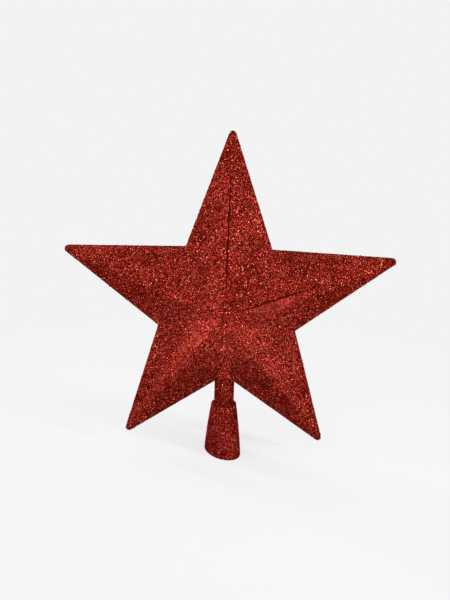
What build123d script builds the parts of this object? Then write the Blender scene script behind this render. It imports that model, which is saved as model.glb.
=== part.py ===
from build123d import *
import os
from math import cos, pi, radians, sin, sqrt

# Star for the top of a tree. Two hollow moulded shells meet in the star's middle plane and clamp a
# stem tube, and a flared socket on the stem's lower end drops over the tip of the tree.
# Millimetres. +Z runs up the stem, the front faces -Y, and the origin is the centre of the foot.

# Star outline, in the middle plane
arm_count = 5
top_arm_angle = 90.0  # degrees from +X
tip_circle_radius = 108.0  # centre of the star to the corner of an arm, before it is rounded
notch_circle_radius = 44.0  # centre of the star to the corner between two arms
tip_rounding = 1.95
star_height = 95.8  # centre of the star above the foot

# Faces and walls of each shell
peak_depth = 24.0  # middle plane to the peak where the faces meet
edge_depth = 1.5  # half the thickness of the star's edge
shell_wall = 1.4  # square to a face

# Tongue round the rear shell's rim, in a rebate of the front shell
tongue_width_share = 0.45  # of the rim's width
tongue_depth_share = 0.67  # of the edge's depth
tongue_gap = 0.1

# Locating pins, one in each arm, and the bosses that carry them
boss_circle_radius = 56.0
boss_wall = 1.4
pin_radius = 1.5
pin_length = 4.0
pin_gap = 0.1

# Creases in the front shell, each along the ridge of one arm
crease_width = 0.7
crease_depth = 0.6
crease_shares = {0: (0.12, 0.74), 4: (0.08, 0.62)}  # arm, counted from the top arm to its left: ends

# Stem tube, with a collar that the shells hold
bore_radius = 4.5
stem_wall = 1.5
stem_end_wall = 1.6
stem_rise = 6.0  # centre of the star up to the stem's closed end
stem_gap = 0.1
collar_step = 2.0  # stem's surface out to the collar's
collar_thickness = 3.0
collar_drop = 10.0  # centre of the star down to the middle of the collar
collar_gap = 0.1

# Cradle ribs in the shells, above and below the collar
cradle_side = 5.0  # how far a rib runs out past the collar
cradle_thickness = 1.6

# Fairings: round swellings of the shells over the stem, which lean out to follow the valley
fairing_wall = 0.6
fairing_drop = 1.0  # corner of the lowest notch down to the fairing's lip
fairing_lean = 13.0  # degrees

# Socket, round at its shoulder and oval at its foot
socket_height = 33.6
shoulder_wall = 1.65
shoulder_bevel = 1.2
foot_half_length = 15.2
foot_half_width = 10.1
foot_turn = -60.0  # degrees from +X to the foot's long axis
flare_share = 0.58  # of the flare that is straight, and the rest is curved
outer_bands = 16  # rings of faces down the flare
inner_bands = 10
socket_wall = 1.5
stem_seat_depth = 12.0  # length of stem inside the socket
stem_seat_gap = 0.1
seat_web = 1.6  # thickness of the ring that the stem stands on
web_hole_gap = 0.4

overrun = 1.0  # how far a cut runs past the face it starts from

# Star geometry that follows from the outline: every side lies at one distance from the centre
half_sector = pi / arm_count
side_length = sqrt(
    tip_circle_radius**2
    + notch_circle_radius**2
    - 2 * tip_circle_radius * notch_circle_radius * cos(half_sector)
)
side_distance = tip_circle_radius * notch_circle_radius * sin(half_sector) / side_length
tip_reach = tip_circle_radius - tip_rounding * (tip_circle_radius / side_distance - 1)
face_rise = peak_depth - edge_depth
face_length = sqrt(face_rise**2 + side_distance**2)
rim_width = shell_wall * face_length / face_rise  # the wall, cut by the middle plane
tongue_width = tongue_width_share * rim_width
tongue_depth = tongue_depth_share * edge_depth
boss_radius = pin_radius + pin_gap + boss_wall

# Radii and heights along the stem
stem_radius = bore_radius + stem_wall
collar_radius = stem_radius + collar_step
fairing_radius = stem_radius + stem_gap + fairing_wall
shoulder_radius = stem_radius + stem_seat_gap + shoulder_wall
flare_height = socket_height - shoulder_wall
stem_bottom = socket_height - stem_seat_depth
web_bottom = stem_bottom - seat_web
stem_top = star_height + stem_rise
bore_top = stem_top - stem_end_wall
fairing_bottom = star_height - notch_circle_radius - fairing_drop
collar_bottom = star_height - collar_drop - collar_thickness / 2
collar_top = collar_bottom + collar_thickness

star_centre = Vector(0, 0, star_height)
middle_plane = Plane(star_centre, x_dir=(1, 0, 0), z_dir=(0, -1, 0))
foot_plane = Plane.XY.rotated((0, 0, foot_turn))


def star_face(inset, depth):
    """Star whose sides lie inset inside the outer ones, at a depth in front of the middle plane."""
    size_share = 1 - inset / side_distance
    corners = []
    for corner in range(2 * arm_count):
        circle_radius = notch_circle_radius if corner % 2 else tip_circle_radius
        angle = radians(top_arm_angle) + corner * half_sector
        reach = circle_radius * size_share
        corners.append((reach * cos(angle), reach * sin(angle)))
    with BuildSketch(middle_plane.offset(depth)) as face:
        Polygon(*corners, align=None)
        if inset < tip_rounding:
            tips = face.vertices().sort_by_distance((0, 0, 0))[-arm_count:]
            fillet(tips, tip_rounding - inset)
    return face.sketch


def half_star(inset):
    """Front half of a star: a straight edge, then flat faces that rise to one peak."""
    depth = edge_depth + face_rise * (1 - inset / side_distance)
    peak = star_centre + middle_plane.z_dir * depth
    with BuildPart() as half:
        extrude(star_face(inset, 0), amount=edge_depth)
        loft([star_face(inset, edge_depth), Vertex(*peak)], ruled=True)
    return half.part


def shell_room():
    """Hollow of the front shell, which leaves the bosses and the cradle ribs standing."""
    with BuildPart() as room:
        add(half_star(rim_width))
        with BuildSketch(middle_plane):
            with PolarLocations(boss_circle_radius, arm_count, top_arm_angle):
                Circle(boss_radius)
        extrude(amount=peak_depth, mode=Mode.SUBTRACT)
        lower_rib = collar_bottom - collar_gap - cradle_thickness
        upper_rib = collar_top + collar_gap
        for rib_height in (lower_rib, upper_rib):
            with BuildSketch(Plane.XY.offset(rib_height)):
                Rectangle(2 * (collar_radius + cradle_side), 2 * peak_depth)
            extrude(amount=cradle_thickness, mode=Mode.SUBTRACT)
    return room.part


def rim_ring(outer_inset, depth):
    """Ring that follows the rim from outer_inset to the inside of the wall, in front of the middle."""
    with BuildPart() as ring:
        extrude(star_face(outer_inset, 0), amount=depth)
        extrude(star_face(rim_width, 0), amount=depth, mode=Mode.SUBTRACT)
    return ring.part


def fairing():
    """Front half of a leaning cylinder, which the valley swallows before it reaches the collar."""
    lean = radians(fairing_lean)
    with BuildPart() as swelling:
        with BuildSketch(Plane.XY.offset(fairing_bottom)):
            Circle(fairing_radius)
        extrude(amount=collar_bottom - fairing_bottom, dir=(0, -sin(lean), cos(lean)))
        split(bisect_by=middle_plane, keep=Keep.TOP)
    return swelling.part


def stem_way():
    """Room for the stem where it passes out through the shells and lies in the cradle ribs."""
    with BuildPart() as way:
        with BuildSketch(Plane.XY.offset(socket_height)):
            Circle(stem_radius + stem_gap)
        extrude(amount=stem_top + stem_gap - socket_height)
    return way.part


def crease_groove(arm, inner_share, outer_share):
    """Groove along an arm's ridge, deepest half-way and running out at both ends."""
    angle = radians(top_arm_angle) + 2 * arm * half_sector
    along = Vector(cos(angle), 0, sin(angle))
    ridge_plane = Plane(star_centre, x_dir=along, z_dir=along.cross(middle_plane.z_dir))
    inner = Vector(inner_share * tip_reach, edge_depth + face_rise * (1 - inner_share))
    outer = Vector(outer_share * tip_reach, edge_depth + face_rise * (1 - outer_share))
    outward = Vector(face_rise, tip_reach).normalized()
    deepest = (inner + outer) / 2 - outward * crease_depth
    with BuildPart() as groove:
        with BuildSketch(ridge_plane):
            with BuildLine():
                ThreePointArc(inner, deepest, outer)
                Polyline(outer, outer + outward * overrun, inner + outward * overrun, inner)
            make_face()
        extrude(amount=crease_width / 2, both=True)
    return groove.part


def flare(top, band_count, inset):
    """Solid from the foot up to a height, inset inside the socket: ovals that a curve draws in to a round."""
    sections = []
    for band in range(band_count + 1):
        height = top * band / band_count
        rise_share = height / flare_height
        oval_share = 1 - flare_share * rise_share - (1 - flare_share) * rise_share**2
        half_length = shoulder_radius + oval_share * (foot_half_length - shoulder_radius)
        half_width = shoulder_radius + oval_share * (foot_half_width - shoulder_radius)
        with BuildSketch(foot_plane.offset(height)) as section:
            Ellipse(half_length - inset, half_width - inset)
        sections.append(section.sketch)
    with BuildPart() as sleeve:
        loft(sections, ruled=True)
    return sleeve.part


# Front shell: faceted half star with the rebate, the pin holes and the creases
with BuildPart() as front_shell:
    add(half_star(0))
    add(fairing())
    add(shell_room(), mode=Mode.SUBTRACT)
    rebate_inset = rim_width - tongue_width - tongue_gap
    add(rim_ring(rebate_inset, tongue_depth + tongue_gap), mode=Mode.SUBTRACT)
    with BuildSketch(middle_plane):
        with PolarLocations(boss_circle_radius, arm_count, top_arm_angle):
            Circle(pin_radius + pin_gap)
    extrude(amount=pin_length + pin_gap, mode=Mode.SUBTRACT)
    for arm, ends_shares in crease_shares.items():
        add(crease_groove(arm, *ends_shares), mode=Mode.SUBTRACT)
    add(stem_way(), mode=Mode.SUBTRACT)

# Rear shell: the same half star turned to the back, with the tongue and the pins
with BuildPart() as rear_shell:
    mirror(half_star(0), about=Plane.XZ)
    mirror(fairing(), about=Plane.XZ)
    mirror(shell_room(), about=Plane.XZ, mode=Mode.SUBTRACT)
    add(rim_ring(rim_width - tongue_width, tongue_depth))
    with BuildSketch(middle_plane):
        with PolarLocations(boss_circle_radius, arm_count, top_arm_angle):
            Circle(pin_radius)
    extrude(amount=pin_length)
    add(stem_way(), mode=Mode.SUBTRACT)

# Stem tube: closed at the top, with the collar between the cradle ribs
with BuildPart() as stem_tube:
    with BuildSketch(Plane.XZ):
        with BuildLine():
            Polyline(
                (0, stem_top),
                (stem_radius, stem_top),
                (stem_radius, collar_top),
                (collar_radius, collar_top),
                (collar_radius, collar_bottom),
                (stem_radius, collar_bottom),
                (stem_radius, stem_bottom),
                (bore_radius, stem_bottom),
                (bore_radius, bore_top),
                (0, bore_top),
                close=True,
            )
        make_face()
    revolve(axis=Axis.Z)

# Socket: flared sleeve over the stem's lower end
with BuildPart() as socket:
    add(flare(flare_height, outer_bands, 0))
    with BuildSketch(Plane.XY.offset(flare_height)):
        Circle(shoulder_radius)
    extrude(amount=shoulder_wall)
    chamfer(socket.edges().group_by(Axis.Z)[-1], shoulder_bevel)
    add(flare(web_bottom, inner_bands, socket_wall), mode=Mode.SUBTRACT)
    with BuildSketch(Plane.XY.offset(stem_bottom)):
        Circle(stem_radius + stem_seat_gap)
    extrude(amount=stem_seat_depth, mode=Mode.SUBTRACT)
    with BuildSketch(Plane.XY.offset(web_bottom)):
        Circle(bore_radius + web_hole_gap)
    extrude(amount=seat_web, mode=Mode.SUBTRACT)

os.makedirs("parts", exist_ok=True)
front_shell.part.label = "front_shell"
rear_shell.part.label = "rear_shell"
stem_tube.part.label = "stem_tube"
socket.part.label = "socket"
export_step(front_shell.part, "parts/front_shell.step")
export_step(rear_shell.part, "parts/rear_shell.step")
export_step(stem_tube.part, "parts/stem_tube.step")
export_step(socket.part, "parts/socket.step")
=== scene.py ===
# %% [markdown]
# A red glitter star for the top of a tree
#
# The star is two hollow plastic shells, a stem and a flared socket, brushed all over with glue and rolled
# in glitter. The shells, stem and socket come ready-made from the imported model, at their real size, so this
# lesson only dresses them: a glue coat for the solids, and then the glitter itself, flake by flake.

# %% Load the star
import math
from collections import namedtuple

import bpy
import numpy as np
from mathutils import Matrix, Vector


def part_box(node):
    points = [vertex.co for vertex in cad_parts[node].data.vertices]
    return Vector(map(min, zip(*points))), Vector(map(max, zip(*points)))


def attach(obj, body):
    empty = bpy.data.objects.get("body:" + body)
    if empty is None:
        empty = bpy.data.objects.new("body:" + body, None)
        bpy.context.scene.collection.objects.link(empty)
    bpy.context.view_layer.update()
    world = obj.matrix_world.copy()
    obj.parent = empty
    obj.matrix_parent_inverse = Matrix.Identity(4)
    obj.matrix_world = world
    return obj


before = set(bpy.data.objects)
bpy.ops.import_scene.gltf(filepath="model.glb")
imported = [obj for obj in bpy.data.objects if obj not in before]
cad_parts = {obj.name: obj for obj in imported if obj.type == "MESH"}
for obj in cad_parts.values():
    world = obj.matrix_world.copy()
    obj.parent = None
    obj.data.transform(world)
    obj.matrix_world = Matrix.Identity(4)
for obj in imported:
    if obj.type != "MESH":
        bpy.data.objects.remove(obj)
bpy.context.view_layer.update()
MM = 0.001

# %% [markdown]
# A shader written as sums
#
# Each finish below is a small tree of nodes. Wiring nodes by hand is long to read, so one class wraps a
# socket: sums on it add Math nodes, and its add method makes any other node.


# %% The class that wraps a socket
class Wire:
    """One output of a shader tree. Python's sums on it add the Math nodes that do the same."""

    def __init__(self, tree, socket=None):
        self.tree = tree
        self.socket = socket

    def add(self, kind, settings=None, sockets=None, output=0):
        """Adds a node of this kind, sets it, then fills or links its sockets, and wraps one output."""
        node = self.tree.nodes.new(kind)
        for name, value in (settings or {}).items():
            if name == "stops":
                fill_ramp(node.color_ramp, value)
            else:
                setattr(node, name, value)
        for name, value in (sockets or {}).items():
            if isinstance(value, Wire):
                self.tree.links.new(value.socket, node.inputs[name])
            else:
                node.inputs[name].default_value = value
        return Wire(self.tree, node.outputs[output]) if len(node.outputs) else None

    def sum(self, operation, first, second):
        """Adds the Math node of this operation on two values, each a Wire or a number."""
        return self.add("ShaderNodeMath", {"operation": operation}, {0: first, 1: second})

    def vector(self, operation, sockets, output="Vector"):
        """Adds the Vector Math node of this operation."""
        return self.add("ShaderNodeVectorMath", {"operation": operation}, sockets, output)

    def __add__(self, other):
        return self.sum("ADD", self, other)

    def __sub__(self, other):
        return self.sum("SUBTRACT", self, other)

    def __rsub__(self, other):
        return self.sum("SUBTRACT", other, self)

    def __mul__(self, other):
        return self.sum("MULTIPLY", self, other)

    def __truediv__(self, other):
        return self.sum("DIVIDE", self, other)

    def __lt__(self, other):
        return self.sum("LESS_THAN", self, other)

    __radd__ = __add__
    __rmul__ = __mul__

    def limited(self):
        """The same value, held between 0 and 1."""
        return self.add("ShaderNodeClamp", None, {"Value": self})

    def most(self, other):
        """The greater of two values."""
        return self.sum("MAXIMUM", self, other)

    def mix(self, low, high):
        """A colour from low to high as this value runs from 0 to 1."""
        kind = {"data_type": "RGBA", "clamp_factor": True}
        return self.add("ShaderNodeMix", kind, {0: self, 6: low, 7: high}, 2)

    def axes(self):
        """The three parts of a vector: x, y and z."""
        return [self.add("ShaderNodeSeparateXYZ", None, {0: self}, axis) for axis in "XYZ"]

    def channels(self):
        """The three parts of a colour: red, green and blue."""
        parts = ("Red", "Green", "Blue")
        return [self.add("ShaderNodeSeparateColor", None, {"Color": self}, part) for part in parts]


# %% [markdown]
# Starting and ending a finish
#
# A new material in Blender comes with nodes of its own. They are cleared away here, so that each finish
# holds only what its own cell puts into it.


# %% Ramps and materials
def fill_ramp(ramp, stops):
    """Gives a colour ramp these stops: pairs of a place from 0 to 1 and a colour."""
    while len(ramp.elements) < len(stops):
        ramp.elements.new(1.0)
    for element, (place, colour) in zip(ramp.elements, stops):
        element.position = place
        element.color = (*colour, 1.0)


def new_finish(name):
    """An empty material, and a Wire to build its tree on."""
    material = bpy.data.materials.new(name)
    material.use_nodes = True
    material.node_tree.nodes.clear()
    return material, Wire(material.node_tree)


def finish_with(shader):
    """Ends a tree: the shader becomes the surface."""
    shader.add("ShaderNodeOutputMaterial", None, {"Surface": shader})


# %% [markdown]
# Solids as arrays
#
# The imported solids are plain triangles. Their corners go into one array per solid, and all later questions,
# such as which way a face looks, are put to whole arrays at once. The first answer is where the middle of
# the star is: behind the peak, which is the foremost point of the front shell.


# %% Triangles and the middle of the star
def triangles_of(node):
    """Corner points of a node's triangles: triangles by corners by x, y, z."""
    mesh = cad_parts[node].data
    mesh.calc_loop_triangles()
    points = np.empty(3 * len(mesh.vertices), np.float32)
    mesh.vertices.foreach_get("co", points)
    corners = np.empty(3 * len(mesh.loop_triangles), np.int32)
    mesh.loop_triangles.foreach_get("vertices", corners)
    return points.reshape(-1, 3)[corners.reshape(-1, 3)].astype(float)


front_points = triangles_of("front_shell").reshape(-1, 3)
star_centre = front_points[front_points[:, 1].argmin()] * (1, 0, 1)
print("centre of the star in mm", star_centre / MM)

# %% [markdown]
# Arms
#
# Much of what follows is about one arm, or about one side of its ridge. So the arms are numbered from the
# top one on, to the left and round, and any point gets a place on its arm: how far out it lies along the
# ridge, and how far to the side of it. The side is positive on the way to the next arm.

# %% Number the arms
ARM_COUNT = 5
SECTOR = 2 * math.pi / ARM_COUNT
TOP, LEFT, LOWER_LEFT, LOWER_RIGHT, RIGHT = range(ARM_COUNT)


def bearing(arm):
    """An arm's angle in front view: a right angle for the top arm, and a sector more for each next one."""
    return math.pi / 2 + arm * SECTOR


def arm_places(points):
    """Where points lie on the arms: arm number, distance along the arm, signed distance across its ridge."""
    offset = points - star_centre
    angle = np.arctan2(offset[:, 2], offset[:, 0]) - math.pi / 2
    arm = np.round(angle / SECTOR)
    reach = np.hypot(offset[:, 0], offset[:, 2])
    turn = angle - arm * SECTOR
    return arm.astype(int) % ARM_COUNT, reach * np.cos(turn), reach * np.sin(turn)


print("ridges at degrees", [round(math.degrees(bearing(arm))) % 360 for arm in range(ARM_COUNT)])

# %% [markdown]
# Colours of the glitter
#
# Every flake is the same red foil, yet in one glance some look nearly black, most deep red and a few pale
# pink, because each lies at its own tilt and in more or less glue. Here each flake gets its red as its own
# colour, so that spread is in part glue and in part painted light: the sheen and glints that each tilt
# catches. One ramp from dull to bright holds those reds. The flakes and the dust between them both read it.
# Along the ramp the red grows about as the square of the place, so that the dark reds, which the eye tells
# apart best, have room. Its last stop is for the few sparks, whose pale pink is a painted glint.
#
# The lacquer on the foil isn't even either. A second ramp tints the first one: from deep red over orange
# and rose to pale, which are the tints of fresh foil, and on to the paler tint of foil that was rubbed.

# %% Reds from dull to bright, and their tints
FLAKE_REDS = (
    (0.0, (0.0040, 0.0003, 0.0001)),
    (0.25, (0.0625, 0.0052, 0.0010)),
    (0.5, (0.2500, 0.0122, 0.0064)),
    (0.75, (0.5600, 0.0300, 0.0225)),
    (0.9, (0.8100, 0.0550, 0.0450)),
    (0.95, (0.9200, 0.1480, 0.1440)),
    (1.0, (1.0000, 0.2500, 0.2000)),
)
FRESH_FOIL = 0.8
FLAKE_TINTS = (
    (0.0, (1.0, 0.55, 0.50)),
    (0.28, (1.0, 1.20, 0.42)),
    (0.52, (1.0, 0.86, 1.00)),
    (FRESH_FOIL, (1.0, 1.28, 1.36)),
    (1.0, (1.0, 2.30, 2.20)),
)
FOIL_EDGE = (1.0, 0.15, 0.1, 1.0)


def glitter_red(tree, level, paleness):
    """The red at a level from dull to bright, times the tint at a paleness from deep to rubbed."""
    red = tree.add("ShaderNodeValToRGB", {"stops": FLAKE_REDS}, {"Fac": level})
    tint = tree.add("ShaderNodeValToRGB", {"stops": FLAKE_TINTS}, {"Fac": paleness})
    times = {"data_type": "RGBA", "blend_type": "MULTIPLY"}
    return tree.add("ShaderNodeMix", times, {0: 1.0, 6: red, 7: tint}, 2)


print(len(FLAKE_REDS), "reds and", len(FLAKE_TINTS), "tints")

# %% [markdown]
# Glue coat
#
# Under the flakes the plastic is wet with red glue that holds finer glitter dust. A Voronoi pattern breaks
# the surface into grains under half a millimetre across. Each grain has one random colour, which picks its
# red, its gloss, its tint and the way it leans, so the coat sparkles even where no flake lies. A slow noise
# makes the glue thicker here and thinner there. Where a solid was never brushed, a mask shows its own red.
# In the creases another mask shows a darker red, which is painted shade.

# %% The glue coat's material
GRAIN_SIZE = 0.34 * MM
GRAIN_LEAN = 0.75
GRAIN_LEVEL = 0.46
GLUE_PATCH = 14 * MM
GLUE_LEVEL = 0.2
GRAIN_ROUGHNESS = 0.30
ROUGHNESS_SPREAD = 0.35
BARE_ROUGHNESS = 0.42


def glue_coat(name, bare=None, bare_and_shade_red=None):
    """Glue and fine glitter on object coordinates. bare, if given, makes a mask of what shows
    bare_and_shade_red
    instead: bare plastic inside the socket, and painted shade in the creases.
    """
    material, tree = new_finish(name)
    place = tree.add("ShaderNodeTexCoord", output="Object")
    grain = {"Vector": place, "Scale": 1 / GRAIN_SIZE, "Randomness": 1.0}
    picked = tree.add("ShaderNodeTexVoronoi", None, grain, "Color")
    shade, gloss, paleness = picked.channels()
    patches = {"Vector": place, "Scale": 1 / GLUE_PATCH, "Detail": 3.0}
    thick = tree.add("ShaderNodeTexNoise", None, patches, "Fac")
    level = (shade * GRAIN_LEVEL + (thick - 0.5) * GLUE_LEVEL).limited()
    red = glitter_red(tree, level, FRESH_FOIL * paleness)
    rough = GRAIN_ROUGHNESS + ROUGHNESS_SPREAD * gloss
    lean = GRAIN_LEAN
    if bare is not None:
        mask = bare(place)
        red = mask.mix(red, bare_and_shade_red)
        rough = mask * BARE_ROUGHNESS + (1 - mask) * rough
        lean = (1 - mask) * GRAIN_LEAN
    off_centre = tree.vector("SUBTRACT", {0: picked, 1: (0.5, 0.5, 0.5)})
    leaning = tree.vector("SCALE", {0: off_centre, "Scale": lean})
    upright = tree.add("ShaderNodeNewGeometry", output="Normal")
    normal = tree.vector("NORMALIZE", {0: tree.vector("ADD", {0: upright, 1: leaning})})
    look = {"Base Color": red, "Roughness": rough, "Normal": normal, "Metallic": 0.5}
    skin = {"Specular IOR Level": 0.05, "Specular Tint": FOIL_EDGE}
    finish_with(tree.add("ShaderNodeBsdfPrincipled", None, look | skin))
    return material


print("grains to a square centimetre, about", round((10 * MM / GRAIN_SIZE) ** 2))

# %% [markdown]
# Inside of the socket
#
# The brush never reached into the socket, so there the plastic shows bare. A second material on the inner
# faces would do, but the solid's faces carry no names, so a formula tells in from out. The socket's outside
# is an oval that shrinks from the foot to the round shoulder. The mask is the same form, half a millimetre
# smaller, which lies within the wall: what is inside it must be the inside of the socket.

# %% A mask for the socket's inside
PLASTIC_RED = (0.130, 0.0075, 0.0055, 1.0)
FOOT_TURN = math.radians(-60.0)
FOOT_HALF_LENGTH = 15.2 * MM
FOOT_HALF_WIDTH = 10.1 * MM
SHOULDER_RADIUS = 7.75 * MM
FLARE_HEIGHT = 31.95 * MM
FLARE_SHARE = 0.58
SKIN = 0.5 * MM


def inside_socket(place):
    """1 inside the socket and 0 outside: an oval whose half axes run from the foot's to the shoulder's. Up
    the flare they shrink by FLARE_SHARE of the height, and by the rest of the height's square."""
    x, y, z = place.axes()
    across = x * math.cos(FOOT_TURN) + y * math.sin(FOOT_TURN)
    over = y * math.cos(FOOT_TURN) - x * math.sin(FOOT_TURN)
    rise = z / FLARE_HEIGHT
    flare = (1 - FLARE_SHARE * rise - (1 - FLARE_SHARE) * rise * rise).limited()
    half_length = SHOULDER_RADIUS - SKIN + flare * (FOOT_HALF_LENGTH - SHOULDER_RADIUS)
    half_width = SHOULDER_RADIUS - SKIN + flare * (FOOT_HALF_WIDTH - SHOULDER_RADIUS)
    long_share = across / half_length
    wide_share = over / half_width
    return long_share * long_share + wide_share * wide_share < 1.0


print("bare plastic starts", SKIN / MM, "mm under the socket's outside")

# %% [markdown]
# Creases
#
# Two of the front ridges carry a crease from the mould, a fine groove that flakes have bridged badly, so
# that it shows as a dark line of shade. The groove is in the solid. Here a mask darkens the glue coat in it,
# which is painted shade. It starts near the peak, grows over its run in, and dies away over its run out
# towards the tip. The same lengths will keep the flakes out of it later. Sizes are in millimetres from the
# middle of the star.

# %% A mask for the creases
# A dark red for the creases, which is painted shade in the groove.
CREASE_SHADE_RED = (0.038, 0.0016, 0.0008, 1.0)
CREASE_HALF_WIDTH = 0.57 * MM
CREASE_CORE = 1.3
CREASES = (
    {"arm": TOP, "start": 6.0, "end": 86.0, "run_in": 16.0, "run_out": 20.0, "lit_side": 1},
    {"arm": RIGHT, "start": 6.0, "end": 66.0, "run_in": 8.0, "run_out": 30.0, "lit_side": -1},
)


def crease_depth(crease, along, limited):
    """How deep a crease is at a distance along its ridge: the share of its run in, times that of its run
    out. limited is what holds a value between 0 and 1, for Wires or for arrays."""
    run_in = limited((along - crease["start"] * MM) / (crease["run_in"] * MM))
    run_out = limited((crease["end"] * MM - along) / (crease["run_out"] * MM))
    return run_in * run_out


def crease_shade(place):
    """1 deep in a crease. Across it the mask is CREASE_CORE less the square of the share of the half width,
    held between 0 and 1, and along it that is times the crease's depth."""
    x, _, z = place.axes()
    rise = z - float(star_centre[2])
    mask = 0.0
    for crease in CREASES:
        turn = bearing(crease["arm"])
        along = x * math.cos(turn) + rise * math.sin(turn)
        across = (rise * math.cos(turn) - x * math.sin(turn)) / CREASE_HALF_WIDTH
        mask = (CREASE_CORE - across * across).limited() * crease_depth(crease, along, Wire.limited) + mask
    return mask


print("creases end at mm", [crease["end"] for crease in CREASES])

# %% [markdown]
# Brushing the solids
#
# All four solids get a glue coat. The socket and the front shell also get their masks: bare plastic inside
# the socket, and painted shade in the creases of the front shell. The coat's function takes them as they
# are, so that one function makes all four materials.

# %% Put the glue coats on
# The socket's mask shows bare plastic, and the front shell's shows painted shade in its creases.
BARE_AND_SHADE = {"socket": (inside_socket, PLASTIC_RED), "front_shell": (crease_shade, CREASE_SHADE_RED)}

for node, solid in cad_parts.items():
    solid.data.materials.clear()
    solid.data.materials.append(glue_coat(f"glue_coat_{node}", *BARE_AND_SHADE.get(node, ())))
print("glue coats on", len(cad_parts), "solids")

# %% [markdown]
# Where glitter lies
#
# Glitter lies only where a brush could reach. Those faces could be picked by hand, but a rule finds them
# again whenever the solids are packed anew. A shell's big faces look away from the middle of the star, and
# its inner ones look towards it. The thin rim is square to both, so it is known by its place: it faces
# outwards and lies next to the middle plane. On the stem and the socket it is enough that a face looks away
# from the upright axis.

# %% Pick the faces that carry glitter
EDGE_DEPTH = 1.5 * MM
SLACK = 0.02 * MM
RIM_DISTANCE = 34.5 * MM
LEVEL_FACE = 0.05
LEAST_OUTWARD = 0.1
NO_LENGTH = 1e-18


def facing(triangles):
    """Each triangle's area and the direction it faces: half the cross product of two sides is as long as the
    area and points that way."""
    cross = np.cross(triangles[:, 1] - triangles[:, 0], triangles[:, 2] - triangles[:, 0])
    length = np.linalg.norm(cross, axis=1)
    return length / 2, cross / np.maximum(length, NO_LENGTH)[:, None]


def shell_outside(node, side):
    """Triangles of a shell that face out. side is -1 for the front shell and 1 for the rear one."""
    triangles = triangles_of(node)
    _, normal = facing(triangles)
    faces = side * normal[:, 1] > LEVEL_FACE
    square_to_faces = np.abs(normal[:, 1]) < LEVEL_FACE
    depth = side * triangles[:, :, 1]
    near_middle = ((depth > -SLACK) & (depth < EDGE_DEPTH + SLACK)).all(1)
    outwards = (normal * (triangles.mean(1) - star_centre)).sum(1) > RIM_DISTANCE
    return triangles[faces | (square_to_faces & near_middle & outwards)]


def sleeve_outside(node):
    """Triangles of the stem or the socket that face away from the upright axis."""
    triangles = triangles_of(node)
    _, normal = facing(triangles)
    middle = triangles.mean(1)
    outward = (normal[:, :2] * middle[:, :2]).sum(1)
    return triangles[outward > LEAST_OUTWARD * np.hypot(middle[:, 0], middle[:, 1])]


outsides = {
    "front_shell": shell_outside("front_shell", -1),
    "rear_shell": shell_outside("rear_shell", 1),
    "stem_tube": sleeve_outside("stem_tube"),
    "socket": sleeve_outside("socket"),
}
for node, triangles in outsides.items():
    print(node, "outside in square mm", round(facing(triangles)[0].sum() / MM**2))

# %% [markdown]
# Scattering the flakes
#
# Craft glitter is foil punched into hexagons, here about 0.4 mm across. It could be a bump in the material,
# but real flakes catch the light one by one and roughen the outline, so here each is a small hexagon of its
# own. They are all worked out at once, as arrays: first even random places, then the direction of the
# surface there, then the tilt, and last the six corners. There are as many as would cover the surface once,
# and because they fall at random, some overlap and leave gaps in which the glue coat shows.

# %% Places on the surface
FLAKE_RADIUS = 0.19 * MM
FLAKE_AREA = 1.5 * math.sqrt(3) * FLAKE_RADIUS**2
SEED = 2412
dice = np.random.default_rng(SEED)


def scatter(triangles):
    """Even random points and their surface directions. A triangle is picked in step with its area, and its
    corners are weighed by 1 - a, a(1 - b) and ab, with a the square root of a random number."""
    area, normal = facing(triangles)
    count = int(area.sum() / FLAKE_AREA)
    picked = dice.choice(len(triangles), count, p=area / area.sum())
    a = np.sqrt(dice.random(count))
    b = dice.random(count)
    weights = np.stack((1 - a, a * (1 - b), a * b), 1)
    return (triangles[picked] * weights[:, :, None]).sum(1), normal[picked]


print("flakes to a square centimetre", round((10 * MM) ** 2 / FLAKE_AREA))

# %% [markdown]
# Soft ridges
#
# A moulded star has no knife edges. Each ridge is rounded, widely near the peak and less and less towards
# the tip, so the flakes turn over it bit by bit. A flake's own direction is blended with its mirror image
# across the ridge, half and half on the ridge itself and none part of the way to the arm's edge.

# %% Turn the flakes over the ridges
TIP_RADIUS = 108.0 * MM
TIP_SLOPE = math.tan(math.radians(19.7))
SOFT_SHARE = 0.62
UNDER_LEFT_SHARE = 0.20
UNDER_RIGHT_SHARE = 0.40
CRISP_SHARE = 0.12
CRISP_FROM = 20 * MM
LEAST_WIDTH = 1 * MM
PEAK_SOFT = 22 * MM
VALLEY_SOFT = 44 * MM
PEAK_BLEND = 0.6


def held(values):
    """Values held between 0 and 1."""
    return np.clip(values, 0, 1)


def unit(vectors):
    """Vectors of the same directions, each 1 long."""
    return vectors / np.linalg.norm(vectors, axis=1)[:, None]


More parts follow.
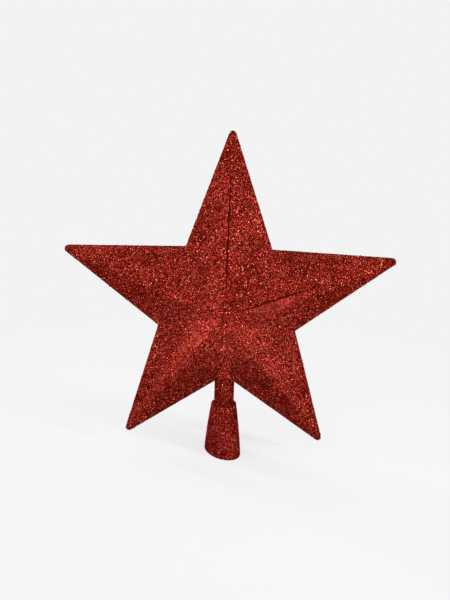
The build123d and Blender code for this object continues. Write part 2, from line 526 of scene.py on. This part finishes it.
def soften(points, normal):
    """Blends each direction with its mirror image in the arm's ridge, by a half on the ridge and evenly less
    to a share of the arm's half width. That share is less on the undersides of the side arms, and least by
    the stem, where the lower arms turn crisp away from the peak. Round the peak all turn to the front, in an
    oval that reaches further down the valley above the stem."""
    arm, along, across = arm_places(points)
    half_width = np.minimum((TIP_RADIUS - along) * TIP_SLOPE, along * math.tan(SECTOR / 2))
    under_left = (arm == LEFT) & (across > 0)
    under_right = (arm == RIGHT) & (across < 0)
    by_stem = ((arm == LOWER_LEFT) & (across > 0)) | ((arm == LOWER_RIGHT) & (across < 0))
    crisp = CRISP_SHARE + (SOFT_SHARE - CRISP_SHARE) * held(1 - along / CRISP_FROM)
    shares = [UNDER_LEFT_SHARE, UNDER_RIGHT_SHARE, crisp]
    share = np.select([under_left, under_right, by_stem], shares, SOFT_SHARE)
    blend = 0.5 * held(1 - np.abs(across) / (share * np.maximum(half_width, LEAST_WIDTH)))[:, None]
    turn = bearing(arm)
    side = np.stack((-np.sin(turn), np.zeros_like(turn), np.cos(turn)), 1)
    mirrored = normal - 2 * (normal * side).sum(1)[:, None] * side
    soft = normal * (1 - blend) + mirrored * blend
    offset = points - star_centre
    reach = np.where(offset[:, 2] < 0, VALLEY_SOFT, PEAK_SOFT)
    peak = PEAK_BLEND * held(1 - np.hypot(offset[:, 0] / PEAK_SOFT, offset[:, 2] / reach))[:, None]
    outwards = np.sign(normal[:, 1:2]) * np.array((0.0, 1.0, 0.0))
    return unit(soft * (1 - peak) + outwards * peak)


print("ridges are soft over", SOFT_SHARE, "of an arm's half width, by the stem over", CRISP_SHARE)

# %% [markdown]
# Rubbed stripes
#
# Beside four of the ridges the glitter was pressed flat, by hands or by its box, so there the flakes lean
# less and are calmer, and where the lacquer went too they are paler. Flakes that lie flat all catch the
# same light, and here that light is painted: a stripe's level makes its flakes' red brighter, which is a
# painted highlight. Each stripe lies on one side of a ridge and narrows on its way out. Sizes are in
# millimetres from the middle of the star.

# %% Stripes beside the ridges
# A stripe's level is painted highlight. Its calm and pale belong to the rubbed glitter.
RUBBED_AND_SHEEN_STRIPES = (
    {"arm": LOWER_LEFT, "side": -1, "start": 3, "end": 92, "wide": 15, "narrow": 4,
     "level": 0.50, "calm": 0.16, "pale": 0.06},
    {"arm": LOWER_RIGHT, "side": 1, "start": 13, "end": 90, "wide": 14, "narrow": 4,
     "level": 0.38, "calm": 0.08, "pale": 0.0},
    {"arm": RIGHT, "side": -1, "start": 11, "end": 47, "wide": 14, "narrow": 11,
     "level": 0.0, "calm": 0.50, "pale": 0.8},
    {"arm": TOP, "side": -1, "start": 34, "end": 68, "wide": 14, "narrow": 8,
     "level": 0.18, "calm": 0.0, "pale": 0.0},
)
FADE_IN = 7 * MM
FADE_AWAY = 14 * MM


def rubbing_and_sheen(points):
    """How much brighter (a painted highlight), calmer and paler the stripes make each point: the level,
    calm and pale of a stripe, fading evenly at its two ends and over the outer half of its width."""
    arm, along, across = arm_places(points)
    sheen_gain, calm, pale = np.zeros((3, len(points)))
    for stripe in RUBBED_AND_SHEEN_STRIPES:
        start, end, wide, narrow = (stripe[key] * MM for key in ("start", "end", "wide", "narrow"))
        out = across * stripe["side"]
        width = wide + (narrow - wide) * held((along - start) / (end - start))
        ends = held((along - start) / FADE_IN) * held((end - along) / FADE_AWAY)
        sides = np.where(out > 0, held(2 - 2 * out / width), 0)
        rubbed = ends * sides * (arm == stripe["arm"])
        sheen_gain += stripe["level"] * rubbed
        calm += stripe["calm"] * rubbed
        pale += stripe["pale"] * rubbed
    return sheen_gain, calm, pale


print(len(RUBBED_AND_SHEEN_STRIPES), "rubbed stripes")

# %% [markdown]
# Dull and bright patches
#
# Here and there the glue was thin and held fewer bright flakes, or a thumb has dulled them, and elsewhere
# they lie thicker. Some patches are painted light and shade instead: brighter along the upper edges of the
# side arms, where light from above catches the rims, and darker beside the foot of the top crease and along
# the lower edge of the left arm, where shade falls. Each patch is an oval at its own place on the front,
# strongest in its middle and gone at its rim. Places and sizes are in millimetres from the middle of the
# star, right and up.

# %% Patches on the front
Patch = namedtuple("Patch", "x z half_width half_height change")
PATCHES_OF_GLUE_AND_LIGHT = (
    # Top arm
    Patch(x=1.5, z=96.0, half_width=6.0, half_height=12.0, change=-0.25),
    Patch(x=-5.0, z=80.0, half_width=6.0, half_height=14.0, change=-0.2),
    Patch(x=9.0, z=76.0, half_width=6.0, half_height=14.0, change=0.06),
    Patch(x=18.0, z=48.0, half_width=9.0, half_height=16.0, change=0.5),
    # Round the peak
    Patch(x=26.0, z=28.0, half_width=9.0, half_height=9.0, change=0.3),
    Patch(x=16.0, z=21.0, half_width=10.0, half_height=8.0, change=-0.12),
    Patch(x=4.0, z=18.0, half_width=10.0, half_height=16.0, change=-0.15),
    Patch(x=-7.0, z=16.0, half_width=6.0, half_height=7.0, change=0.3),
    # Painted shade: the top crease's shadow beside its foot.
    Patch(x=6.4, z=11.0, half_width=7.0, half_height=11.0, change=-0.5),
    Patch(x=13.0, z=-5.0, half_width=7.0, half_height=7.0, change=-0.25),
    Patch(x=28.0, z=-5.0, half_width=9.0, half_height=8.0, change=0.45),
    Patch(x=-14.0, z=-6.0, half_width=13.0, half_height=10.0, change=0.46),
    Patch(x=-30.0, z=-6.0, half_width=15.0, half_height=9.0, change=0.42),
    Patch(x=6.0, z=-21.0, half_width=14.0, half_height=22.0, change=0.4),
    # Left arm
    # Painted highlight on the upper edge, where light from above falls.
    Patch(x=-38.0, z=34.0, half_width=14.0, half_height=5.0, change=0.35),
    Patch(x=-54.0, z=29.0, half_width=13.0, half_height=7.0, change=-0.2),
    # These two are painted shade along the lower edge, which is turned from the light.
    Patch(x=-56.0, z=7.0, half_width=14.0, half_height=8.0, change=-0.3),
    Patch(x=-74.0, z=20.0, half_width=14.0, half_height=8.0, change=-0.35),
    # Painted highlight on the upper edge, where light from above falls.
    Patch(x=-78.0, z=33.0, half_width=16.0, half_height=6.0, change=0.4),
    Patch(x=-98.0, z=32.0, half_width=7.0, half_height=6.0, change=-0.2),
    # Right arm
    Patch(x=50.0, z=29.0, half_width=20.0, half_height=8.0, change=-0.14),
    Patch(x=54.0, z=9.0, half_width=14.0, half_height=9.0, change=-0.32),
    # Painted highlight on the upper edge, where light from above falls.
    Patch(x=84.0, z=31.0, half_width=14.0, half_height=6.0, change=0.22),
    Patch(x=99.0, z=31.0, half_width=6.0, half_height=6.0, change=-0.2),
    # Lower arms
    Patch(x=30.0, z=-27.0, half_width=20.0, half_height=27.0, change=0.18),
    Patch(x=42.0, z=-30.0, half_width=6.0, half_height=11.0, change=0.5),
    Patch(x=32.0, z=-45.0, half_width=14.0, half_height=9.0, change=-0.12),
    Patch(x=-42.0, z=-62.0, half_width=17.0, half_height=13.0, change=-0.3),
)


def glue_and_light_levels(points):
    """What the patches make of each point's brightness: a product over the patches, each 1 plus its change
    times the square root of 1 less the oval distance from its middle."""
    offset = (points - star_centre) / MM
    level = np.ones(len(points))
    for patch in PATCHES_OF_GLUE_AND_LIGHT:
        across = (offset[:, 0] - patch.x) / patch.half_width
        rise = (offset[:, 2] - patch.z) / patch.half_height
        level *= 1 + patch.change * np.sqrt(held(1 - np.hypot(across, rise)))
    return level


print(len(PATCHES_OF_GLUE_AND_LIGHT), "patches")

# %% [markdown]
# Patchy glue
#
# Glue brushed on by hand is thicker here and thinner there, so whole patches of the star are a little
# duller or brighter. A sum of a few seeded waves through space gives each flake the level of its patch.

# %% Waves of thick and thin glue
WAVE_COUNT = 24
WAVE_LENGTHS = (6 * MM, 26 * MM)
wave_ways = unit(dice.normal(size=(WAVE_COUNT, 3)))
wave_rates = 2 * math.pi / dice.uniform(*WAVE_LENGTHS, WAVE_COUNT)
wave_starts = dice.uniform(0, 2 * math.pi, WAVE_COUNT)


def patchiness(points):
    """Sum of waves, each a cosine along its own direction, scaled to a spread of about 1."""
    waves = np.cos(points @ (wave_ways * wave_rates[:, None]).T + wave_starts)
    return waves.sum(1) / math.sqrt(WAVE_COUNT / 2)


print("spread of the glue's waves", round(float(patchiness(front_points).std()), 2))

# %% [markdown]
# Flake foil
#
# Glitter is metallised film under a red lacquer, so it is nearly all metal, tinted red. A flake's map holds
# no picture, only two facts about it: how bright its red is, across, and how pale its tint is, up. The paler
# a flake is, the more its lacquer is worn, and the rougher it is too. So every flake is a speck on that map,
# and one material can dress them all.

# %% The flakes' material
FOIL_ROUGHNESS = 0.20
WORN_ROUGHNESS = 0.325
FOIL_METALLIC = 0.85

flake_foil, foil_tree = new_finish("flake_foil")
brightness, paleness, _ = foil_tree.add("ShaderNodeUVMap", {"uv_map": "OFBake"}).axes()
foil_look = {
    "Base Color": glitter_red(foil_tree, brightness, paleness),
    "Roughness": FOIL_ROUGHNESS + WORN_ROUGHNESS * paleness,
    "Metallic": FOIL_METALLIC,
    "Specular IOR Level": 0.0,
    "Specular Tint": FOIL_EDGE,
}
finish_with(foil_tree.add("ShaderNodeBsdfPrincipled", None, foil_look))
print("flake foil has", len(flake_foil.node_tree.nodes), "nodes")

# %% [markdown]
# Leaning flakes
#
# A flake leans by a random amount, and is lifted so that its lower edge rests in the glue. Two kinds stand
# out. A few flakes on the rim are larger and lean much more, which makes the outline rough. And one in
# several hundred is a spark, a larger flake that lies flatter and higher than the rest. Its red, the
# brightest and palest there is, is a painted glint that shows under any light. Where the glitter is rubbed,
# flakes lean less and sparks are rare. Copies of one hexagon could be strewn by geometry nodes, but arrays
# let each flake know its patch, its stripe and its ridge.

# %% Corners of the flakes
FLAKE_SPREAD = 0.3
FLAKE_LEAN = 0.30
FLAKE_LIFT = 0.04 * MM
REST_SHARE = 0.7
STANDING_SIZE = 0.6
SPARK_SHARE = 0.0022
SPARK_LOSS = 3
SPARK_SIZE = 0.7
SPARK_LIFT = 2.0
SPARK_FLATNESS = 0.5
UPRIGHT = 0.9
CORNERS = 6
SWEEP = np.arange(CORNERS) * 2 * math.pi / CORNERS


def lean_flakes(points, normal, calm, standing):
    """Corners of the flakes, and which flakes are sparks. Corner k lies at centre + radius (cos 60k first +
    sin 60k second), where first and second span the plane of the leaning flake."""
    count = len(points)
    guide = np.where(np.abs(normal[:, 2:]) < UPRIGHT, (0.0, 0.0, 1.0), (1.0, 0.0, 0.0))
    first = unit(np.cross(normal, guide))
    second = np.cross(normal, first)
    spark = dice.random(count) < SPARK_SHARE * calm**SPARK_LOSS
    looseness = (calm + standing) * (1 - SPARK_FLATNESS * spark)
    lean = dice.normal(0, FLAKE_LEAN, (count, 2)) * looseness[:, None]
    turn = dice.uniform(0, 2 * math.pi, count)[:, None]
    size = 1 + STANDING_SIZE * standing + SPARK_SIZE * spark + FLAKE_SPREAD * dice.uniform(-1, 1, count)
    radius = FLAKE_RADIUS * size[:, None]
    upright = unit(normal + lean[:, :1] * first + lean[:, 1:] * second)
    first = unit(np.cross(upright, second * np.cos(turn) + first * np.sin(turn)))
    second = np.cross(upright, first)
    slope = np.hypot(lean[:, :1], lean[:, 1:])
    lift = FLAKE_LIFT * (1 + SPARK_LIFT * spark)[:, None]
    centre = points + normal * (lift + REST_SHARE * radius * slope / np.sqrt(1 + slope**2))
    ring = np.cos(SWEEP)[:, None] * first[:, None] + np.sin(SWEEP)[:, None] * second[:, None]
    return centre[:, None] + radius[:, None] * ring, spark


print("a flake's corners at degrees", np.degrees(SWEEP).round().tolist())

# %% [markdown]
# Bright and dull flakes
#
# How bright a flake's red is follows a gamma law, which makes many dull flakes and a few very bright ones.
# That spread is in part painted sheen and glint. Its place on the star scales it, by patch and stripe, and
# so brings in their painted light and shade. Calm glitter has less of the luck and more of the mean. Plain
# flakes stop short of the ramp's end, which belongs to the sparks and their painted glint. The tint is even
# chance among those of fresh foil, drawn towards the rubbed end where the foil is pale.

# %% Specks on the flakes' map
BRIGHTNESS = 0.306
DULLNESS = 0.40
PATCH_DEPTH = 0.11
BRIGHTEST = 0.95
SPARK_PALENESS = 0.76
SPECK = 0.004


def shade_flakes(points, spark, calm, level, pale):
    """Corners of each flake's speck on the map: a hexagon of radius SPECK round the square root of its
    brightness, across, and its tint, up."""
    count = len(points)
    luck = dice.gamma(DULLNESS, 1 / DULLNESS, count)
    bright = BRIGHTNESS * level * np.exp(PATCH_DEPTH * patchiness(points)) * (1 + calm * (luck - 1))
    shade = np.where(spark, 1 - SPECK, np.clip(np.sqrt(bright), SPECK, BRIGHTEST))
    fresh = FRESH_FOIL * dice.uniform(SPECK, 1 - SPECK, count)
    tint = np.where(spark, SPARK_PALENESS, fresh + (1 - SPECK - fresh) * pale)
    middle = np.stack((shade, tint), 1)
    return middle[:, None] + SPECK * np.stack((np.cos(SWEEP), np.sin(SWEEP)), 1)


print("one flake in", round(1 / SPARK_SHARE), "is a spark")

# %% [markdown]
# One hexagon per flake
#
# A piece of glitter is one mesh of loose hexagons. No two of them share a corner, so the corners are simply
# numbered in order, and the arrays go straight into the mesh.


# %% Build a piece of glitter
def lay_glitter(name, points, normal, calm=1.0, level=1.0, standing=0.0, pale=0.0):
    """Makes a piece of glitter: a hexagon for each point, dressed in flake foil, that rides on the star."""
    corners, spark = lean_flakes(points, normal, calm, standing)
    specks = shade_flakes(points, spark, calm, level, pale)
    count = len(points)
    mesh = bpy.data.meshes.new(name)
    mesh.vertices.add(count * CORNERS)
    mesh.loops.add(count * CORNERS)
    mesh.polygons.add(count)
    mesh.vertices.foreach_set("co", corners.astype(np.float32).ravel())
    mesh.loops.foreach_set("vertex_index", np.arange(count * CORNERS, dtype=np.int32))
    mesh.polygons.foreach_set("loop_start", np.arange(0, count * CORNERS, CORNERS, dtype=np.int32))
    mesh.uv_layers.new(name="OFBake").data.foreach_set("uv", specks.astype(np.float32).ravel())
    mesh.update()
    mesh.materials.append(flake_foil)
    piece = bpy.data.objects.new(name, mesh)
    bpy.context.scene.collection.objects.link(piece)
    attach(piece, "root")
    print(name, count, "flakes")


# %% [markdown]
# Flakes by the creases
#
# Flakes can't lie in a crease, so those that would are left out, apart from a few that bridge it. Along one
# of its lips the flakes' red is a little brighter, a painted highlight where the lip catches the light.

# %% Keep the creases clear
CREASE_STRAYS = 0.10
CREASE_LIP = 1.1 * MM


def crease_parts(points):
    """Which points lie clear of the creases, and how near each is to a lit lip, from 0 to 1. The bare strip
    widens with the crease's depth, and the lip is strongest at half of CREASE_LIP from the ridge."""
    arm, along, across = arm_places(points)
    clear = np.ones(len(points), bool)
    lip = np.zeros(len(points))
    for crease in CREASES:
        depth = crease_depth(crease, along, held) * (arm == crease["arm"])
        strays = dice.random(len(points)) < CREASE_STRAYS
        clear &= strays | (np.abs(across) >= CREASE_HALF_WIDTH * depth)
        out = across * crease["lit_side"]
        lip += depth * held(1 - np.abs(out - CREASE_LIP / 2) / (CREASE_LIP / 2))
    return clear, lip


# %% [markdown]
# Glitter on the shells
#
# Each shell carries nearly two hundred thousand flakes, too many for one piece, so there is a piece for
# each arm. Stripes, patches and creases are on the front alone.

# %% Glitter on the shells, arm by arm
# A painted highlight on the flakes along the lit lip of a crease.
LIP_HIGHLIGHT = 0.2
RIM_SHARE = 0.012
RIM_STANDING = 1.3

for node in ("front_shell", "rear_shell"):
    points, normal = scatter(outsides[node])
    rubbed, pale = np.zeros((2, len(points)))
    level = np.ones(len(points))
    if node == "front_shell":
        clear, lip = crease_parts(points)
        print("flakes kept out of the creases", np.count_nonzero(~clear))
        points, normal, lip = points[clear], normal[clear], lip[clear]
        sheen_gain, rubbed, pale = rubbing_and_sheen(points)
        level = (1 + sheen_gain) * (1 + LIP_HIGHLIGHT * lip) * glue_and_light_levels(points)
    on_rim = np.abs(normal[:, 1]) < LEVEL_FACE
    standing = RIM_STANDING * (on_rim & (dice.random(len(points)) < RIM_SHARE))
    arm, _, _ = arm_places(points)
    soft = soften(points, normal)
    for number in range(ARM_COUNT):
        here = arm == number
        name = f"{node}_glitter_{number + 1}"
        look = {"calm": 1 - rubbed[here], "level": level[here], "pale": pale[here]}
        lay_glitter(name, points[here], soft[here], standing=standing[here], **look)

# %% [markdown]
# Glitter on the stem and the socket
#
# The stem shows only between the socket's shoulder and the star, so flakes that would lie inside either are
# left out. In the star they are known by their height, and on the stem's collar by their distance from its
# axis. Both pieces are handled more than the star, so their glitter is duller and a little paler.

# %% Glitter on the stem and the socket
STAR_FROM = 52.0 * MM
STEM_LIMIT = 6.3 * MM
STEM_LOOK = {"level": 0.74, "pale": 0.1}
SOCKET_LOOK = {"level": 0.77, "pale": 0.34, "calm": 0.86}

points, normal = scatter(outsides["stem_tube"])
shown = (points[:, 2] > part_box("socket")[1].z) & (points[:, 2] < STAR_FROM)
shown &= np.hypot(points[:, 0], points[:, 1]) < STEM_LIMIT
lay_glitter("stem_glitter", points[shown], normal[shown], **STEM_LOOK)
points, normal = scatter(outsides["socket"])
lay_glitter("socket_glitter", points, normal, **SOCKET_LOOK)

# %% [markdown]
# Floor
#
# The star stands on a plain pale floor. Close to the star it is a matt white that takes the shadow, and
# further out it fades into the light of the background, so that no horizon shows. The fade counts only for
# what is seen directly. All other light meets plain matt paper.

# %% The floor's surface and material
PALE = (0.895, 0.895, 0.90, 1.0)
MATT = (0.785, 0.785, 0.79, 1.0)
FLOOR_RADIUS = 4.0
FLOOR_RINGS = 24
FLOOR_SPOKES = 64
FLOOR_HUB = 0.001
FADE_AT_FOOT = 0.66
FADE_OUT = 1.1


def disc(radius, rings, spokes):
    """Flat disc: radius times r (cos t, sin t), with r a square, so that it is finer towards the middle."""
    r, t = np.meshgrid(np.linspace(FLOOR_HUB, 1, rings) ** 2, np.arange(spokes) * 2 * math.pi / spokes)
    points = np.stack((radius * r * np.cos(t), radius * r * np.sin(t), np.zeros_like(r)), -1)
    index = np.arange(rings * spokes).reshape(spokes, rings)
    after = np.roll(index, -1, 0)
    quads = np.stack((index[:, :-1], index[:, 1:], after[:, 1:], after[:, :-1]), -1)
    return points.reshape(-1, 3), quads.reshape(-1, 4), index[:, 0]


def seen_directly(tree):
    """1 for what the camera, a mirror or a glass sees, and 0 for light on its way to a matt surface."""
    rays = ("Is Camera Ray", "Is Glossy Ray", "Is Transmission Ray")
    camera_ray, mirror_ray, glass_ray = (tree.add("ShaderNodeLightPath", output=ray) for ray in rays)
    return camera_ray.most(mirror_ray).most(glass_ray)


points, quads, hub = disc(FLOOR_RADIUS, FLOOR_RINGS, FLOOR_SPOKES)
floor_mesh = bpy.data.meshes.new("floor")
floor_mesh.from_pydata(points.tolist(), [], quads.tolist() + [hub.tolist()])
floor = bpy.data.objects.new("floor", floor_mesh)
bpy.context.scene.collection.objects.link(floor)
floor_paper, paper = new_finish("floor_paper")
paper_reach = paper.vector("LENGTH", {0: paper.add("ShaderNodeTexCoord", output="Object")}, "Value")
paper_fade = (FADE_AT_FOOT + FADE_OUT * paper_reach).limited()
matt = paper.add("ShaderNodeBsdfDiffuse", None, {"Color": MATT})
light = paper.add("ShaderNodeEmission", None, {"Color": PALE, "Strength": 1.0})
faded = paper_fade * seen_directly(paper)
finish_with(paper.add("ShaderNodeMixShader", None, {0: faded, 1: matt, 2: light}))
floor_mesh.materials.append(floor_paper)
print("floor of", len(floor_mesh.polygons), "faces")

# %% [markdown]
# Sky
#
# A pale sky lights the star from all round. Like the floor, it has one look for what is seen directly and
# one for the light that it gives, so the background can be pale without more light on the star.

# %% The sky's two looks
AMBIENT = 0.80
WHITE = (1.0, 1.0, 1.0, 1.0)

world = bpy.data.worlds.new("studio")
world.use_nodes = True
world.node_tree.nodes.clear()
bpy.context.scene.world = world
sky = Wire(world.node_tree)
behind = sky.add("ShaderNodeBackground", None, {"Color": PALE, "Strength": 1.0})
around = sky.add("ShaderNodeBackground", None, {"Color": WHITE, "Strength": AMBIENT})
shown_sky = sky.add("ShaderNodeMixShader", None, {0: seen_directly(sky), 1: around, 2: behind})
sky.add("ShaderNodeOutputWorld", None, {"Surface": shown_sky})
print("sky of", len(world.node_tree.nodes), "nodes")

# %% [markdown]
# Lamps
#
# Two wide windows of cloth stand in front of the star and to its left, and two small ones to its right and
# behind it. A card on the floor throws some light up under the arms, and six small lamps are what single
# flakes catch as glints. Small windows throw the clearer shadows, so the faint streaks on the floor come
# from the ones at the right and behind. More light from the right would change the star too. Instead, a
# lamp in the same place lights the floor alone, which Blender calls light linking.

# %% Lamps round the star
UP = Vector((0, 0, 1))
RIGHT_PLACE = {"azimuth": 63, "elevation": 17, "distance": 1.1, "size": 0.16}
GLINT_LAMP = {"distance": 1.0, "size": 0.09, "power": 0.55}
GLINTS = ((-78, 30), (-46, 12), (-24, 44), (14, 30), (40, 10), (68, 36))


def lamp(name, azimuth, elevation, distance, size, power, look=None):
    """Square lamp in a direction from the star given in degrees. It looks at the star unless told where."""
    a, e = math.radians(azimuth), math.radians(elevation)
    away = Vector((math.sin(a) * math.cos(e), -math.cos(a) * math.cos(e), math.sin(e)))
    data = bpy.data.lights.new(name, "AREA")
    data.size = size
    data.energy = power
    made = bpy.data.objects.new(name, data)
    made.location = Vector(star_centre) + away * distance
    made.rotation_euler = (look or -away).to_track_quat("-Z", "Y").to_euler()
    made.visible_camera = False
    bpy.context.scene.collection.objects.link(made)
    return made


lamp("front_window", azimuth=-5, elevation=10, distance=1.0, size=0.9, power=1.6)
lamp("left_window", azimuth=-62, elevation=14, distance=1.1, size=0.9, power=1.8)
lamp("right_window", **RIGHT_PLACE, power=2.2)
lamp("back_window", azimuth=-123, elevation=15, distance=1.1, size=0.20, power=5.2)
lamp("floor_card", azimuth=3, elevation=-13.5, distance=0.40, size=0.40, power=2.0, look=UP)
floor_only = bpy.data.collections.new("floor_only")
floor_only.objects.link(floor)
lamp("streak_lamp", **RIGHT_PLACE, power=5.0).light_linking.receiver_collection = floor_only
for number, (azimuth, elevation) in enumerate(GLINTS):
    lamp(f"glint_{number + 1}", azimuth, elevation, **GLINT_LAMP)
print("lamps", [light.name for light in bpy.data.lights])

# %% [markdown]
# Camera
#
# The camera stands a little above the star and a touch to its right, and leans by two degrees, as the
# edges of the star in the photograph say.

# %% Place the camera
PHOTO_HEIGHT = 600
FOCAL_PIXELS = 738.8
SENSOR_WIDTH = 36.0
CAMERA_AZIMUTH = math.radians(2.73)
CAMERA_ELEVATION = math.radians(14.43)
CAMERA_ROLL = math.radians(1.90)
STAR_IN_VIEW = Vector((1.25, -3.60, -450.5)) * MM

back = Vector((
    math.sin(CAMERA_AZIMUTH) * math.cos(CAMERA_ELEVATION),
    -math.cos(CAMERA_AZIMUTH) * math.cos(CAMERA_ELEVATION),
    math.sin(CAMERA_ELEVATION),
))
turned = (-back).to_track_quat("-Z", "Y").to_matrix() @ Matrix.Rotation(CAMERA_ROLL, 3, "Z")
camera_data = bpy.data.cameras.new("camera")
camera_data.sensor_width = SENSOR_WIDTH
camera_data.lens = FOCAL_PIXELS / PHOTO_HEIGHT * SENSOR_WIDTH
camera = bpy.data.objects.new("camera", camera_data)
camera.matrix_world = Matrix.Translation(Vector(star_centre) - turned @ STAR_IN_VIEW) @ turned.to_4x4()
bpy.context.scene.collection.objects.link(camera)
bpy.context.scene.camera = camera
bpy.context.scene.view_settings.view_transform = "Standard"
print("camera in mm", [round(c / MM, 1) for c in camera.matrix_world.translation])
